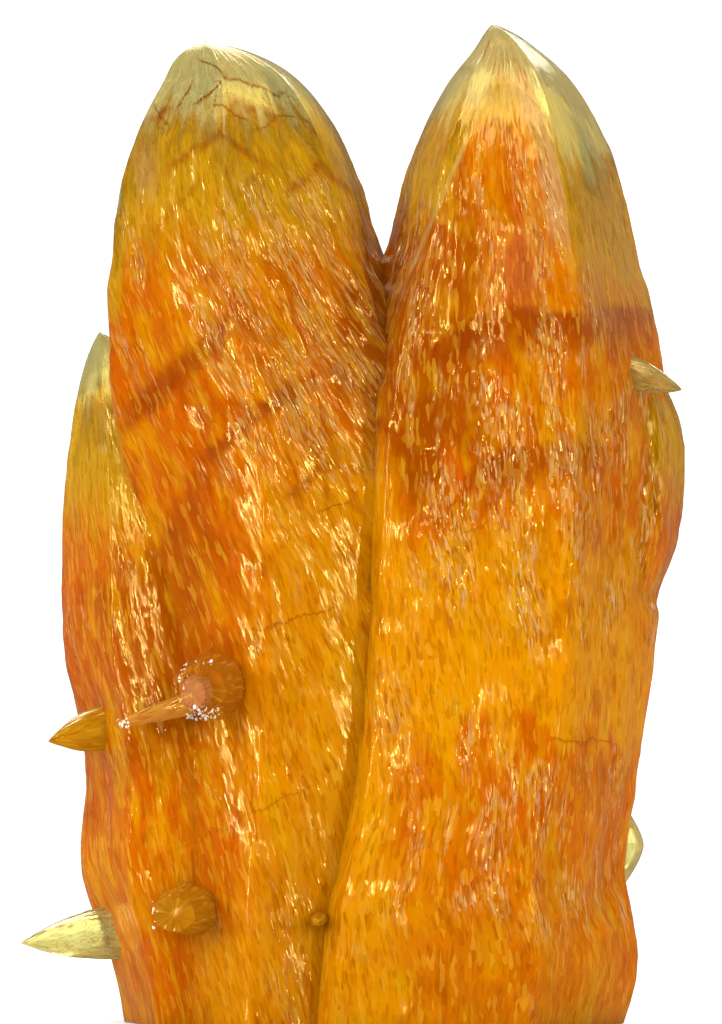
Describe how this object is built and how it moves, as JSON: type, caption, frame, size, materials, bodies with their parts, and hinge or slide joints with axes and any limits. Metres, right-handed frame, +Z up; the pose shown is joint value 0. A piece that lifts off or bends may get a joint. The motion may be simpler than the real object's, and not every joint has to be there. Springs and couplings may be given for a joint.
{
  "type": "calcite specimen",
  "caption": "Free-standing natural calcite: tall honey-coloured translucent crystals grown together side by side, with smaller points on their flanks and a flat cut foot.",
  "frame": {"origin": "middle of the bounding box's bottom, on the flat cut at the foot", "axes": "+Z up along the crystals, -Y towards the side that the picture shows, +X to the right in the picture"},
  "size_m": [0.053, 0.0358, 0.0797],
  "materials": {
    "calcite": "translucent honey-orange crystal with a silky, finely bladed skin and clear pale yellow tips"
  },
  "bodies": {
    "root": {"calcite_crystals": "calcite"}
  },
  "joints": []
}
